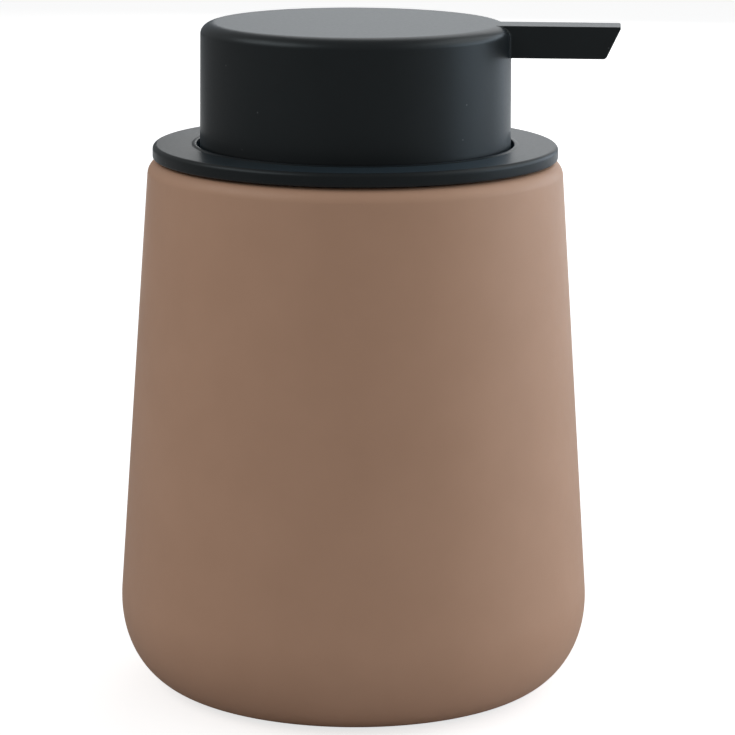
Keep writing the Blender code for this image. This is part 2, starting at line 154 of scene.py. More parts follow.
daylight = (0.88, 1.0, 1.13)
softbox("light_right_low", 98, 12, 0.8, 0.5, 2.2, daylight)
softbox("light_right_edge", 137, 10, 0.4, 0.5, 1.0, daylight)
softbox("light_right_high", 105, 42, 0.9, 0.5, 1.6)
softbox("light_left", -75, 42, 0.9, 0.5, 1.9)
softbox("light_back", 172, 27, 0.5, 1.0, 1.55)
softbox("light_front", 60, 27, 0.5, 1.0, 0.45)

# Bottle. Slip-cast stoneware, one tapered pot with a rounded shoulder and a turned-in base.
# Sprayed outside with a matte coat, glazed white inside, and left bare on the ring it was fired on.
def turn(outline, sides):
    """Spin a closed outline of (radius, height) points about the dispenser's axis."""
    clay = bmesh.new()
    points = [clay.verts.new((radius, 0.0, height)) for radius, height in outline]
    for first, second in zip(points, points[1:] + points[:1]):
        if max(first.co.x, second.co.x) > 0.0:
            clay.edges.new((first, second))
    bmesh.ops.spin(clay, geom=clay.verts[:] + clay.edges[:], axis=(0, 0, 1), cent=(0, 0, 0),
                   angle=2 * math.pi, steps=sides, use_merge=True)
    bmesh.ops.remove_doubles(clay, verts=clay.verts, dist=1e-7)
    bmesh.ops.recalc_face_normals(clay, faces=clay.faces)
    return clay


def round_ring(clay, radius, height, width, segments=5):
    """Round off the ring of edges that lies at a radius and a height."""
    near = 0.002 * MM

    def on_ring(point):
        return abs(point.co.xy.length - radius) < near and abs(point.co.z - height) < near

    ring = [edge for edge in clay.edges if on_ring(edge.verts[0]) and on_ring(edge.verts[1])]
    bmesh.ops.bevel(clay, geom=ring, offset=width, affect="EDGES", segments=segments, profile=0.5,
                    material=-1)


def add_piece(name, clay, finish, body, nodes):
    """Make a finished piece that moves with a body and stands for its nodes."""
    mesh = bpy.data.meshes.new(name)
    clay.to_mesh(mesh)
    clay.free()
    mesh.shade_smooth()
    mesh.set_sharp_from_angle(angle=math.radians(40))
    mesh.materials.append(finish)
    piece = bpy.data.objects.new(name, mesh)
    bpy.context.scene.collection.objects.link(piece)
    evened = piece.modifiers.new("even_shading", "WEIGHTED_NORMAL")
    evened.keep_sharp = True
    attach(piece, body)
    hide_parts(*nodes)
    return piece


def new_finish(name, roughness, specular=0.5, metallic=0.0):
    """A material and its shader, with the shader's plain numbers set."""
    finish = bpy.data.materials.new(name)
    finish.use_nodes = True
    shader = finish.node_tree.nodes["Principled BSDF"]
    shader.inputs["Roughness"].default_value = roughness
    shader.inputs["Specular IOR Level"].default_value = specular
    shader.inputs["Metallic"].default_value = metallic
    return finish, shader


def object_place(tree, stretch=(1.0, 1.0, 1.0)):
    """Object coordinates, stretched where a pattern runs along one direction."""
    place = tree.nodes.new("ShaderNodeTexCoord")
    mapping = tree.nodes.new("ShaderNodeMapping")
    mapping.inputs["Scale"].default_value = stretch
    tree.links.new(place.outputs["Object"], mapping.inputs["Vector"])
    return mapping.outputs["Vector"]


def speckle(tree, where, size, detail=2.0, rough=0.5):
    """Soft noise whose blotches are about the given size in metres."""
    noise = tree.nodes.new("ShaderNodeTexNoise")
    noise.inputs["Scale"].default_value = 1.0 / size
    noise.inputs["Detail"].default_value = detail
    noise.inputs["Roughness"].default_value = rough
    tree.links.new(where, noise.inputs["Vector"])
    return noise.outputs["Fac"]


def spread(tree, value, low, high, start=0.3, end=0.7):
    """Spread a noise value between two numbers."""
    scale = tree.nodes.new("ShaderNodeMapRange")
    scale.inputs["From Min"].default_value = start
    scale.inputs["From Max"].default_value = end
    scale.inputs["To Min"].default_value = low
    scale.inputs["To Max"].default_value = high
    tree.links.new(value, scale.inputs["Value"])
    return scale.outputs["Result"]


def tint(tree, value, first, second):
    """Blend two colours by a value from 0 to 1."""
    mix = tree.nodes.new("ShaderNodeMix")
    mix.data_type = "RGBA"
    mix.inputs["A"].default_value = (*first, 1.0)
    mix.inputs["B"].default_value = (*second, 1.0)
    tree.links.new(value, mix.inputs["Factor"])
    return mix.outputs["Result"]


def relief(tree, value, depth):
    """Raise the surface by a value times a depth in metres."""
    bump = tree.nodes.new("ShaderNodeBump")
    bump.inputs["Distance"].default_value = depth
    tree.links.new(value, bump.inputs["Height"])
    return bump.outputs["Normal"]


def pattern(finish, mottle, gloss, grain, rough=0.5, stretch=(1.0, 1.0, 1.0)):
    """Give a material a mottled colour, an uneven gloss and a fine grain.

    mottle is (size, detail, first colour, second colour), gloss is (size, detail, low, high) and grain
    is (size, detail, depth).
    """
    tree = finish.node_tree
    shader = tree.nodes["Principled BSDF"]
    where = object_place(tree, stretch)
    size, detail, first, second = mottle
    blend = spread(tree, speckle(tree, where, size, detail, rough), 0.0, 1.0)
    tree.links.new(tint(tree, blend, first, second), shader.inputs["Base Color"])
    size, detail, low, high = gloss
    tree.links.new(spread(tree, speckle(tree, where, size, detail), low, high), shader.inputs["Roughness"])
    size, detail, depth = grain
    raised = relief(tree, speckle(tree, where, size, detail, rough), depth)
    tree.links.new(raised, shader.inputs["Normal"])
    return raised


bottle_low, bottle_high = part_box("bottle")
base_radius = bottle_high.x
foot_height = bottle_low.z
rim_height = bottle_high.z
rim_radius = 36.98 * MM
mouth_radius = 31.5 * MM
base_height = 17.5 * MM
foot_radius = base_radius - 9.94 * MM
base_pull = 11.65 * MM
foot_pull = Vector((3.7 * MM, 0.0))
wall = 5.0 * MM
inner_floor = 7.3 * MM
recess_radius = 27.26 * MM
recess_height = 2.3 * MM
mouth_depth = 13.0 * MM
side_slope = (base_radius - rim_radius) / (rim_height - base_height)
down = Vector((side_slope, -1.0)).normalized()
base_start = Vector((base_radius, base_height))
foot = Vector((foot_radius, foot_height))
base_curve = interpolate_bezier(base_start, base_start + down * base_pull, foot + foot_pull, foot, 40)
inner_start = Vector((base_radius - wall, base_height))
inner_foot = Vector((foot_radius - wall / 2, inner_floor))
inner_pull = 5.82 * MM
floor_curve = interpolate_bezier(inner_foot, inner_foot + foot_pull,
                                 inner_start + down * inner_pull, inner_start, 20)
mouth_bottom = rim_height - mouth_depth
neck_height = mouth_bottom - 2.0 * MM
neck_radius = base_radius - wall - side_slope * (neck_height - base_height)
pot = turn([
    (neck_radius, neck_height),
    (mouth_radius, mouth_bottom),
    (mouth_radius, rim_height),
    (rim_radius, rim_height),
    *base_curve,
    (recess_radius, foot_height),
    (recess_radius, recess_height),
    (0.0, recess_height),
    (0.0, inner_floor),
    *floor_curve,
], 192)
round_ring(pot, rim_radius, rim_height, 2.5 * MM, 12)
round_ring(pot, mouth_radius, rim_height, 0.6 * MM)
round_ring(pot, recess_radius, foot_height, 0.5 * MM)
stoneware, shader = new_finish("matte_coated_stoneware", 0.5)
shader.inputs["Specular Tint"].default_value = (1.0, 0.93, 0.84, 1.0)
shader.inputs["Coat Weight"].default_value = 0.06
shader.inputs["Coat Roughness"].default_value = 0.2
fine_grain = pattern(stoneware, (12 * MM, 3.0, (0.755, 0.450, 0.300), (0.790, 0.475, 0.319)),
                     (2 * MM, 4.0, 0.46, 0.54), (0.16 * MM, 2.0, 0.006 * MM))
tree = stoneware.node_tree
ripple = relief(tree, speckle(tree, object_place(tree), 1.6 * MM, 2.0), 0.012 * MM)
tree.links.new(ripple, fine_grain.node.inputs["Normal"])
glazed = 1
bare = 2
for face in pot.faces:
    spot = face.calc_center_median()
    around = spot.xy.length
    inside = base_radius - wall * 0.6 - side_slope * max(spot.z - base_height, 0.0)
    if spot.z > inner_floor - 0.1 * MM and around < inside:
        face.material_index = glazed
    elif spot.z < foot_height + 0.25 * MM or around < recess_radius + 0.1 * MM:
        face.material_index = bare
glaze, shader = new_finish("clear_white_glaze", 0.12)
shader.inputs["Coat Weight"].default_value = 0.5
shader.inputs["Coat Roughness"].default_value = 0.05
pattern(glaze, (7 * MM, 3.0, (0.78, 0.76, 0.71), (0.84, 0.82, 0.78)),
        (1.2 * MM, 4.0, 0.08, 0.18), (5 * MM, 2.0, 0.03 * MM))
bare_clay, shader = new_finish("bare_fired_clay", 0.85, 0.3)
pattern(bare_clay, (0.5 * MM, 5.0, (0.46, 0.37, 0.28), (0.66, 0.57, 0.46)),
        (0.4 * MM, 4.0, 0.75, 0.95), (0.3 * MM, 5.0, 0.04 * MM), rough=0.7)
bottle = add_piece("bottle_pot", pot, stoneware, "bottle", ["bottle"])
bottle.data.materials.append(glaze)
bottle.data.materials.append(bare_clay)

# Foot pad. A disc of soft grey silicone glued into the recess under the bottle, a hair proud of it.
# Moulded with shallow rings on its underside for grip, and the only piece that touches the worktop.
pad_low, pad_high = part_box("foot_pad")
pad_radius = pad_high.x
groove_depth = 0.35 * MM
first_groove = 5.0 * MM
groove_pitch = 4.5 * MM
groove_half_width = 0.5 * MM
groove_half_floor = 0.3 * MM
pad_outline = [(pad_radius, pad_low.z), (pad_radius, pad_high.z), (0.0, pad_high.z), (0.0, pad_low.z)]
for ring in range(5):
    groove = first_groove + groove_pitch * ring
    pad_outline += [(groove - groove_half_width, pad_low.z),
                    (groove - groove_half_floor, pad_low.z + groove_depth),
                    (groove + groove_half_floor, pad_low.z + groove_depth),
                    (groove + groove_half_width, pad_low.z)]
pad = turn(pad_outline, 128)
round_ring(pad, pad_radius, pad_low.z, 0.3 * MM, 3)
round_ring(pad, pad_radius, pad_high.z, 0.3 * MM, 3)
grey_silicone, shader = new_finish("grey_silicone", 0.55, 0.45)
pattern(grey_silicone, (3 * MM, 4.0, (0.085, 0.086, 0.090), (0.097, 0.098, 0.102)),
        (0.8 * MM, 4.0, 0.48, 0.68), (0.15 * MM, 3.0, 0.01 * MM))
add_piece("foot_pad_disc", pad, grey_silicone, "bottle", ["foot_pad"])

# Collar. The lid's flange and the well that the head sinks into, one injection moulding in black.
# It is pushed into the bottle's mouth, and a lip at its lower end keeps the seal on.
collar_low, collar_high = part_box("collar")
collar_radius = collar_high.x
touch_gap = 0.3 * MM
flange_bottom = rim_height + touch_gap
well_radius = 28.35 * MM
bead_height = 0.16 * MM
flange_top = collar_high.z - bead_height
bead_foot = Vector((well_radius + 1.0 * MM, flange_top))
bead_crest = Vector((well_radius + 0.3 * MM, collar_high.z))
bead_pull = Vector((0.3 * MM, 0.0))
rolled_rim = interpolate_bezier(bead_foot, bead_foot - bead_pull, bead_crest + bead_pull, bead_crest, 8)
well_outer = well_radius + 1.3 * MM
well_floor = collar_low.z + 2.0 * MM
hole_radius = 8.6 * MM
lip_radius = well_outer + 1.2 * MM
lip_top = collar_low.z + 1.6 * MM
lip_slope = 0.35 * MM
lid = turn([
    (collar_radius, flange_bottom),
    (collar_radius, flange_top),
    *rolled_rim,
    (well_radius, collar_high.z),
    (well_radius, well_floor),
    (hole_radius, well_floor),
    (hole_radius, collar_low.z),
    (lip_radius, collar_low.z),
    (lip_radius, lip_top),
    (well_outer, lip_top + lip_slope),
    (well_outer, flange_bottom),
], 192)
round_ring(lid, collar_radius, flange_top, 0.8 * MM, 6)
round_ring(lid, collar_radius, flange_bottom, 0.3 * MM, 3)
round_ring(lid, well_radius, collar_high.z, 0.2 * MM, 5)
round_ring(lid, well_radius, well_floor, 0.6 * MM, 4)
round_ring(lid, lip_radius, collar_low.z, 0.35 * MM, 3)


def black_moulding(name, specular):
    """Satin black plastic, a little blue where light grazes it, with a very fine grain and dust specks."""
    finish, shader = new_finish(name, 0.38, specular)
    shader.inputs["Specular Tint"].default_value = (0.82, 0.95, 1.0, 1.0)
    shader.inputs["Sheen Weight"].default_value = 0.115
    shader.inputs["Sheen Roughness"].default_value = 0.3
    shader.inputs["Sheen Tint"].default_value = (0.42, 0.75, 1.0, 1.0)
    pattern(finish, (9 * MM, 3.0, (0.0108, 0.0120, 0.0128), (0.0134, 0.0146, 0.0154)),
            (0.7 * MM, 4.0, 0.365, 0.395), (0.09 * MM, 2.0, 0.0012 * MM))
    moulded = shader.inputs["Base Color"].links[0].from_socket
    tree = finish.node_tree
    specks = tree.nodes.new("ShaderNodeTexVoronoi")
    specks.inputs["Scale"].default_value = 1.0 / (4 * MM)
    tree.links.new(object_place(tree), specks.inputs["Vector"])
    on_speck = spread(tree, specks.outputs["Distance"], 1.0, 0.0, 0.02, 0.05)
    dusted = tint(tree, on_speck, (0.0, 0.0, 0.0), (0.10, 0.105, 0.11))
    tree.links.new(moulded, dusted.node.inputs["A"])
    tree.links.new(dusted, shader.inputs["Base Color"])
    return finish


lid_plastic = black_moulding("satin_black_lid", 0.40)
add_piece("collar_moulding", lid, lid_plastic, "lid", ["collar"])

# Mouth seal. A silicone sleeve pulled over the lid's well, with three soft ribs that grip the mouth.
# The ribs lean upwards, so the lid goes in easily and comes out with a tug.
seal_low, seal_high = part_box("mouth_seal")
sleeve_inner = well_outer + touch_gap
sleeve_outer = sleeve_inner + 0.6 * MM
rib_pitch = (seal_high.z - seal_low.z) / 3
rib_start = 0.25
rib_tip_start = 0.62
rib_tip_end = 0.76
rib_end = 0.80
seal_outline = [(sleeve_inner, seal_high.z), (sleeve_inner, seal_low.z), (sleeve_outer, seal_low.z)]
for rib in range(3):
    seal_outline += [(sleeve_outer, seal_low.z + rib_pitch * (rib + rib_start)),
                     (seal_high.x, seal_low.z + rib_pitch * (rib + rib_tip_start)),
                     (seal_high.x, seal_low.z + rib_pitch * (rib + rib_tip_end)),
                     (sleeve_outer, seal_low.z + rib_pitch * (rib + rib_end))]
seal_outline.append((sleeve_outer, seal_high.z))
seal = turn(seal_outline, 160)
for rib in range(3):
    for share in (rib_tip_start, rib_tip_end):
        round_ring(seal, seal_high.x, seal_low.z + rib_pitch * (rib + share), 0.1 * MM, 3)
add_piece("mouth_seal_sleeve", seal, grey_silicone, "lid", ["mouth_seal"])

# Pump cylinder. The bore that the piston runs in, moulded in undyed polypropylene, milky and clear.
# It hangs in the lid's floor by its flange. A thread outside takes the lock nut, a vent lets air in,
# and below are the inlet seat and the tail that grips the tube.
def natural_plastic(name, milk):
    """Undyed, slightly see-through plastic with faint flow marks."""
    finish, shader = new_finish(name, 0.34)
    shader.inputs["Transmission Weight"].default_value = 0.35
    shader.inputs["IOR"].default_value = 1.49
    pattern(finish, (6 * MM, 3.0, (milk, milk, milk * 0.97), (milk + 0.06, milk + 0.06, milk + 0.04)),
            (1.5 * MM, 4.0, 0.28, 0.42), (0.4 * MM, 3.0, 0.008 * MM), stretch=(1.0, 1.0, 0.35))
    return finish


cylinder_low, cylinder_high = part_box("pump_cylinder")
flange_radius = cylinder_high.x
cylinder_wall = 1.3 * MM
cylinder_radius = hole_radius - touch_gap
bore_radius = cylinder_radius - cylinder_wall
flange_under = cylinder_high.z - 1.8 * MM
inlet_pocket = 2.8 * MM
inlet_hole = 1.7 * MM
tube_low, tube_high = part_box("dip_tube")
tail_grip = tube_high.x + touch_gap
tail_radius = tail_grip + cylinder_wall
tail_roof = cylinder_low.z + 10.0 * MM
cage_low, cage_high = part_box("ball_cage")
chamber_floor = cage_low.z - touch_gap
ball_low, ball_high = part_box("inlet_ball")
inlet_ball_radius = ball_high.x
cone_tip = (ball_low.z + ball_high.z) / 2 - (inlet_ball_radius + touch_gap) * math.sqrt(2)
shelf = chamber_floor - cylinder_wall
housing = turn([
    (flange_radius, cylinder_high.z),
    (bore_radius, cylinder_high.z),
    (bore_radius, chamber_floor),
    (inlet_pocket, chamber_floor),
    (inlet_pocket, cone_tip + inlet_pocket),
    (inlet_hole, cone_tip + inlet_hole),
    (inlet_hole, tail_roof),
    (tail_grip, tail_roof),
    (tail_grip, cylinder_low.z),
    (tail_radius, cylinder_low.z),
    (tail_radius, shelf - (cylinder_radius - tail_radius)),
    (cylinder_radius, shelf),
    (cylinder_radius, flange_under),
    (flange_radius, flange_under),
], 96)
for radius, height, width in [(flange_radius, cylinder_high.z, 0.3), (flange_radius, flange_under, 0.3),
                              (cylinder_radius, shelf, 0.8), (tail_radius, cylinder_low.z, 0.3),
                              (tail_grip, cylinder_low.z, 0.3)]:
    round_ring(housing, radius, height, width * MM, 4)


def tool(name, clay):
    """A cutter or an addition for a Boolean, kept out of the render."""
    mesh = bpy.data.meshes.new(name)
    clay.to_mesh(mesh)
    clay.free()
    shape = bpy.data.objects.new(name, mesh)
    bpy.context.scene.collection.objects.link(shape)
    return shape


def apply_tools(clay, steps):
    """Add or cut each tool in turn with exact Booleans and hand back the shape."""
    mesh = bpy.data.meshes.new("work")
    clay.to_mesh(mesh)
    clay.free()
    work = bpy.data.objects.new("work", mesh)
    bpy.context.scene.collection.objects.link(work)
    for operation, shape in steps:
        change = work.modifiers.new(operation, "BOOLEAN")
        change.operation = operation
        change.object = shape
    bpy.context.view_layer.update()
    result = bmesh.new()
    result.from_object(work, bpy.context.evaluated_depsgraph_get())
    for item in [work, *(shape for operation, shape in steps)]:
        bpy.data.objects.remove(item)
    return result


nut_low, nut_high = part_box("lock_nut")
thread_pitch = 1.6 * MM
thread_turns = 5
thread_start = nut_low.z - 3.8 * MM
thread_depth = 0.2 * MM
thread_root = 0.55 * MM
thread_crest = 0.15 * MM
thread_steps = 72
thread = bmesh.new()
profile = [(cylinder_radius - thread_depth, -thread_root), (cylinder_radius + thread_depth, -thread_crest),
           (cylinder_radius + thread_depth, thread_crest), (cylinder_radius - thread_depth, thread_root)]
section = thread.faces.new([thread.verts.new((r, 0.0, thread_start + z)) for r, z in profile])
bmesh.ops.spin(thread, geom=[section], axis=(0, 0, 1), cent=(0, 0, 0),
               dvec=(0, 0, thread_pitch / thread_steps), angle=2 * math.pi * thread_turns,
               steps=thread_steps * thread_turns)
bmesh.ops.recalc_face_normals(thread, faces=thread.faces)
vent_radius = 0.6 * MM
vent_height = nut_low.z - 1.3 * MM
vent = bmesh.new()
bmesh.ops.create_cone(vent, cap_ends=True, segments=24, radius1=vent_radius, radius2=vent_radius,
                      depth=6 * MM, matrix=Matrix.Translation((cylinder_radius, 0, vent_height))
                      @ Matrix.Rotation(math.radians(90), 4, "Y"))
housing = apply_tools(housing, [("UNION", tool("thread", thread)), ("DIFFERENCE", tool("vent", vent))])
cylinder_plastic = natural_plastic("natural_polypropylene", 0.66)
add_piece("cylinder_housing", housing, cylinder_plastic, "lid", ["pump_cylinder"])

# Cylinder gasket. A flat washer of silicone between the cylinder's flange and the lid's floor.
# The lock nut below squeezes it, so that no soap creeps up around the cylinder.
gasket_low, gasket_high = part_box("cylinder_gasket")
gasket = turn([(gasket_high.x, gasket_low.z), (gasket_high.x, gasket_high.z),
               (hole_radius, gasket_high.z), (hole_radius, gasket_low.z)], 96)
round_ring(gasket, gasket_high.x, gasket_high.z, 0.2 * MM, 3)
round_ring(gasket, gasket_high.x, gasket_low.z, 0.2 * MM, 3)
add_piece("cylinder_gasket_washer", gasket, grey_silicone, "lid", ["cylinder_gasket"])

# Lock nut. A white polyethylene hexagon with a round face, screwed up the cylinder from below.
# It clamps the cylinder, the gasket and the lid's floor together.
def white_plastic(name, shade):
    """White moulded plastic with a soft bloom and faint flow marks."""
    finish, shader = new_finish(name, 0.42)
    pattern(finish, (5 * MM, 3.0, (shade, shade, shade * 0.96), (shade + 0.05, shade + 0.05, shade + 0.03)),
            (1.2 * MM, 4.0, 0.36, 0.5), (0.25 * MM, 3.0, 0.006 * MM))
    return finish


nut_face = nut_high.x
nut_corner = nut_face - 0.3 * MM
washer_low = nut_high.z - 1.5 * MM
nut = bmesh.new()
bmesh.ops.create_cone(nut, cap_ends=True, segments=6, radius1=nut_corner, radius2=nut_corner,
                      depth=nut_high.z - nut_low.z,
                      matrix=Matrix.Translation((0, 0, (nut_low.z + nut_high.z) / 2)))
upright = [edge for edge in nut.edges if abs(edge.verts[0].co.z - edge.verts[1].co.z) > 1 * MM]
bmesh.ops.bevel(nut, geom=upright, offset=1.0 * MM, affect="EDGES", segments=4, profile=0.5, material=-1)
rims = [edge for edge in nut.edges if max(end.co.z for end in edge.verts) < nut_low.z + 0.1 * MM]
bmesh.ops.bevel(nut, geom=rims, offset=0.5 * MM, affect="EDGES", segments=3, profile=0.5, material=-1)
washer = turn([(nut_face, washer_low), (nut_face, nut_high.z), (0.0, nut_high.z), (0.0, washer_low)], 96)
round_ring(washer, nut_face, nut_high.z, 0.3 * MM, 3)
round_ring(washer, nut_face, washer_low, 0.3 * MM, 3)
past = 1.0 * MM
bore = turn([(hole_radius, nut_low.z - past), (hole_radius, nut_high.z + past),
             (0.0, nut_high.z + past), (0.0, nut_low.z - past)], 96)
nut = apply_tools(nut, [("UNION", tool("washer_face", washer)), ("DIFFERENCE", tool("nut_bore", bore))])
white_moulding = white_plastic("white_polyethylene", 0.74)
add_piece("lock_nut_hexagon", nut, white_moulding, "lid", ["lock_nut"])

# Dip tube. Extruded soft tube, pushed up into the cylinder's tail and cut at a slant below.
# The slant keeps its end from sealing against the bottle's floor.
tube_radius = tube_high.x
tube_bore = tube_radius - 0.9 * MM
tube_cut = math.radians(30)
uncut = tube_low.z - 2.0 * MM
tube = turn([(tube_radius, uncut), (tube_radius, tube_high.z), (tube_bore, tube_high.z),
             (tube_bore, uncut)], 64)
slant = Vector((math.sin(tube_cut), 0.0, math.cos(tube_cut)))
parted = bmesh.ops.bisect_plane(tube, geom=tube.verts[:] + tube.edges[:] + tube.faces[:],
                                plane_co=(0.0, 0.0, tube_low.z + tube_radius * math.tan(tube_cut)),
                                plane_no=slant, clear_inner=True)
rims = [item for item in parted["geom_cut"] if isinstance(item, bmesh.types.BMEdge)]
bmesh.ops.bridge_loops(tube, edges=rims)
bmesh.ops.recalc_face_normals(tube, faces=tube.faces)
tube_plastic = natural_plastic("natural_polyethylene_tube", 0.72)
add_piece("dip_tube_length", tube, tube_plastic, "lid", ["dip_tube"])

# Stem guide. A white plug that closes the top of the cylinder and keeps the stem upright.
# Its flange is scalloped, so that it can be turned home with finger and thumb.
guide_low, guide_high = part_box("stem_guide")
guide_radius = guide_high.x
guide_under = guide_high.z - 1.8 * MM
stem_radius = 3.2 * MM
guide_bore = stem_radius + touch_gap
wiper_low, wiper_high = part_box("stem_wiper")
wiper_seat = wiper_high.x + touch_gap
seat_floor = wiper_low.z - touch_gap
plug_radius = bore_radius - touch_gap
guide = turn([
    (guide_radius, guide_high.z),
    (wiper_seat, guide_high.z),
    (wiper_seat, seat_floor),
    (guide_bore, seat_floor),
    (guide_bore, guide_low.z),
    (plug_radius, guide_low.z),
    (plug_radius, guide_under),
    (guide_radius, guide_under),
], 96)
for radius, height, width in [(guide_radius, guide_high.z, 0.4), (guide_radius, guide_under, 0.3),
                              (wiper_seat, guide_high.z, 0.2), (plug_radius, guide_low.z, 0.5),
                              (guide_bore, guide_low.z, 0.2)]:
    round_ring(guide, radius, height, width * MM, 4)
scallop_count = 24
scallop_radius = 0.8 * MM
scallop_middle = Vector((guide_radius + 0.35 * MM, 0.0, guide_high.z - 0.9 * MM))
scallops = bmesh.new()
for notch in range(scallop_count):
    around = Matrix.Rotation(2 * math.pi * (notch + 0.5) / scallop_count, 4, "Z")
    bmesh.ops.create_cone(scallops, cap_ends=True, segments=16, radius1=scallop_radius,
                          radius2=scallop_radius, depth=3 * MM,
                          matrix=around @ Matrix.Translation(scallop_middle))
guide = apply_tools(guide, [("DIFFERENCE", tool("scallops", scallops))])
add_piece("stem_guide_plug", guide, white_moulding, "lid", ["stem_guide"])

# Stem wiper. A silicone ring with a thin upward lip, laid in the guide around the stem.
# It wipes the stem dry each time the head goes down.
wiper_top = wiper_low.z + 0.72 * MM
lip_outer = guide_bore + 0.42 * MM
lip_foot = guide_bore + 0.85 * MM
wiper = turn([
    (wiper_high.x, wiper_low.z),
    (wiper_high.x, wiper_top),
    (lip_foot, wiper_top),
    (lip_outer, wiper_high.z),
    (guide_bore, wiper_high.z),
    (guide_bore, wiper_low.z),
], 72)
round_ring(wiper, wiper_high.x, wiper_top, 0.15 * MM, 3)
round_ring(wiper, lip_outer, wiper_high.z, 0.12 * MM, 3)
add_piece("stem_wiper_ring", wiper, grey_silicone, "lid", ["stem_wiper"])

# Inlet valve. A polished steel ball that drops on the cylinder's cone, under a white cage.
# The cage lets the ball rise about a millimetre, and its rim carries the spring.
polished_steel, shader = new_finish("polished_stainless_steel", 0.16, metallic=1.0)
pattern(polished_steel, (1.5 * MM, 3.0, (0.58, 0.575, 0.56), (0.66, 0.655, 0.64)),
        (0.6 * MM, 5.0, 0.10, 0.26), (0.2 * MM, 3.0, 0.002 * MM))


def steel_ball(name, node, body):
    """A bearing ball where the node is."""
    low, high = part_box(node)
    pearl = bmesh.new()
    bmesh.ops.create_icosphere(pearl, subdivisions=4, radius=high.x,
                               matrix=Matrix.Translation((0, 0, (low.z + high.z) / 2)))
    add_piece(name, pearl, polished_steel, body, [node])


steel_ball("inlet_valve_ball", "inlet_ball", "inlet_ball")
cage_radius = cage_high.x
cage_roof = cage_high.z - 1.5 * MM
cage = turn([
    (cage_radius, cage_low.z),
    (cage_radius, cage_high.z),
    (0.0, cage_high.z),
    (0.0, cage_roof),
    (inlet_pocket, cage_roof),
    (inlet_pocket, cage_low.z),
], 96)
round_ring(cage, cage_radius, cage_high.z, 0.4 * MM, 4)
round_ring(cage, cage_radius, cage_low.z, 0.3 * MM, 3)
port_radius = 0.8 * MM
port_middle = Vector((2.0 * MM, 0.0, cage_roof))
ports = bmesh.new()
for quarter in range(4):
    around = Matrix.Rotation(math.radians(90 * quarter), 4, "Z")
    bmesh.ops.create_cone(ports, cap_ends=True, segments=24, radius1=port_radius, radius2=port_radius,
                          depth=5 * MM, matrix=around @ Matrix.Translation(port_middle))
cage = apply_tools(cage, [("DIFFERENCE", tool("ports", ports))])
add_piece("inlet_ball_cage", cage, white_moulding, "lid", ["ball_cage"])

# Spring. Hard-drawn stainless wire, coiled with one closed turn at each end.
# It stands on the ball cage and pushes the valve seat, the stem and the head back up.
spring_low, spring_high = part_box("spring")
wire = 0.45 * MM
coil_radius = spring_high.x - wire
closed_rise = 1.05 * MM
open_turns = 4
coil_low = spring_low.z + wire
coil_rise = spring_high.z - spring_low.z - 2 * wire
coil_steps = 64
coil = bmesh.new()
start = Matrix.Translation((coil_radius, 0, coil_low)) @ Matrix.Rotation(math.radians(90), 4, "X")
bmesh.ops.create_circle(coil, cap_ends=False, segments=16, radius=wire, matrix=start)
end = coil.edges[:]
coil.faces.new(coil.verts[:])
for turns, rise in [(1, closed_rise), (open_turns, coil_rise - 2 * closed_rise), (1, closed_rise)]:
    wound = bmesh.ops.spin(coil, geom=end, axis=(0, 0, 1), cent=(0, 0, 0),
                           dvec=(0, 0, rise / turns / coil_steps), angle=2 * math.pi * turns,
                           steps=coil_steps * turns)
    end = [item for item in wound["geom_last"] if isinstance(item, bmesh.types.BMEdge)]
bmesh.ops.contextual_create(coil, geom=end)
bmesh.ops.recalc_face_normals(coil, faces=coil.faces)
spring = add_piece("return_spring", coil, polished_steel, "lid", ["spring"])
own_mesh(spring)

# Piston. A white carrier on the stem's lower end with a soft grey ring in its groove.
# It slides down the bore with the head and does not turn with it.
piston_low, piston_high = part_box("piston")
piston_radius = piston_high.x
piston_bore = stem_radius + touch_gap
stem_low, stem_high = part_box("stem")
shoulder_height = 1.8 * MM
sink_radius = stem_high.x + touch_gap
sink_floor = piston_high.z - shoulder_height - touch_gap
ring_low, ring_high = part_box("piston_ring")
groove_radius = piston_radius - 1.0 * MM
groove_low = ring_low.z - touch_gap
groove_high = ring_high.z + touch_gap
carrier = turn([
    (piston_radius, groove_high),
    (piston_radius, piston_high.z),
    (sink_radius, piston_high.z),
    (sink_radius, sink_floor),
    (piston_bore, sink_floor),
    (piston_bore, piston_low.z),
    (piston_radius, piston_low.z),
    (piston_radius, groove_low),
    (groove_radius, groove_low),
    (groove_radius, groove_high),
], 96)
for radius, height, width in [(piston_radius, piston_high.z, 0.35), (piston_radius, piston_low.z, 0.35),
                              (sink_radius, piston_high.z, 0.2), (piston_bore, piston_low.z, 0.2)]:
    round_ring(carrier, radius, height, width * MM, 4)
add_piece("piston_carrier", carrier, white_moulding, "piston", ["piston"])
ring_inner = groove_radius + touch_gap
lip_ring = turn([(ring_high.x, ring_low.z), (ring_high.x, ring_high.z),
                 (ring_inner, ring_high.z), (ring_inner, ring_low.z)], 96)
for height in (ring_low.z, ring_high.z):
    round_ring(lip_ring, ring_high.x, height, 0.5 * MM, 5)
    round_ring(lip_ring, ring_inner, height, 0.2 * MM, 3)
add_piece("piston_soft_ring", lip_ring, grey_silicone, "piston", ["piston_ring"])

